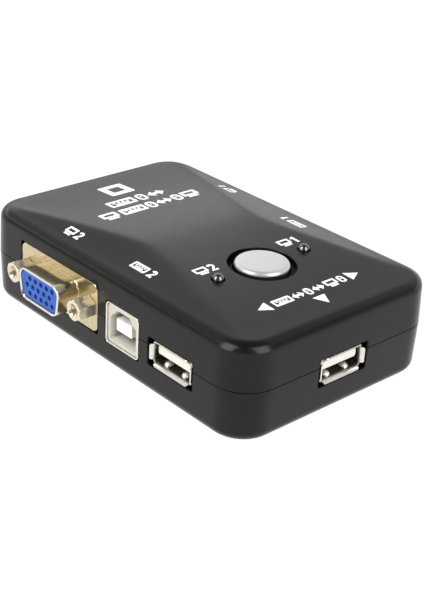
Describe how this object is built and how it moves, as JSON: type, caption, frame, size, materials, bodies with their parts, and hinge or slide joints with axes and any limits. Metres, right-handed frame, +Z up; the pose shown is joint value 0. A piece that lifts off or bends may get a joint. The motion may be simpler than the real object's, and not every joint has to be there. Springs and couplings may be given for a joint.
{
  "type": "kvm switch",
  "caption": "Small black desktop box with a round select button that switches one USB keyboard and mouse and one VGA monitor between computers.",
  "frame": {"origin": "on the surface the case stands on, at the middle of the whole outline", "axes": "+Z up, -Y towards the front with the console socket, +X to the right seen from the front"},
  "size_m": [0.0738, 0.1026, 0.0268],
  "materials": {
    "case_plastic": "fine-textured black moulding",
    "button_plastic": "satin silver-grey",
    "lamp_plastic": "clear epoxy, dark when off",
    "blue_insert": "moulded blue",
    "cream_insert": "moulded cream white",
    "black_housing": "moulded black",
    "gold_flash": "pale gold plating",
    "nickel": "bright nickel plating",
    "spring_steel": "drawn wire",
    "board_lacquer": "green solder mask on glass-fibre board",
    "white_print": "screen-printed white ink"
  },
  "bodies": {
    "case": {"bottom_shell": "case_plastic", "top_shell": "case_plastic", "circuit_board": "board_lacquer", "case_screw_1": "nickel", "case_screw_2": "nickel", "case_screw_3": "nickel", "case_screw_4": "nickel", "switch_housing": "black_housing", "switch_cover": "nickel", "switch_spring": "spring_steel", "led_left": "lamp_plastic", "led_right": "lamp_plastic", "vga_left_jackscrew_1": "nickel", "vga_left_jackscrew_2": "nickel", "vga_left_shell": "gold_flash", "vga_left_insert": "blue_insert", "vga_left_housing": "black_housing", "vga_right_jackscrew_1": "nickel", "vga_right_jackscrew_2": "nickel", "vga_right_shell": "gold_flash", "vga_right_insert": "blue_insert", "vga_right_housing": "black_housing", "vga_rear_jackscrew_1": "nickel", "vga_rear_jackscrew_2": "nickel", "vga_rear_shell": "gold_flash", "vga_rear_insert": "blue_insert", "vga_rear_housing": "black_housing", "usb_b_left_shell": "nickel", "usb_b_left_insulator": "cream_insert", "usb_b_right_shell": "nickel", "usb_b_right_insulator": "cream_insert", "usb_a_left_shell": "nickel", "usb_a_left_insulator": "cream_insert", "usb_a_right_shell": "nickel", "usb_a_right_insulator": "cream_insert", "usb_a_front_shell": "nickel", "usb_a_front_insulator": "cream_insert", "control_chip": "black_housing", "video_chip_left": "black_housing", "video_chip_right": "black_housing", "crystal": "nickel", "capacitor_left": "spring_steel", "capacitor_right": "spring_steel"},
    "button": {"select_button": "button_plastic", "switch_plunger": "cream_insert"}
  },
  "joints": [
    {"name": "button_press", "type": "slide", "parent": "case", "child": "button", "axis": [0, 0, -1], "range_m": [0, 0.001], "stiffness_N_per_m": 800, "springref_m": -0.001, "deforming": ["switch_spring"]}
  ]
}
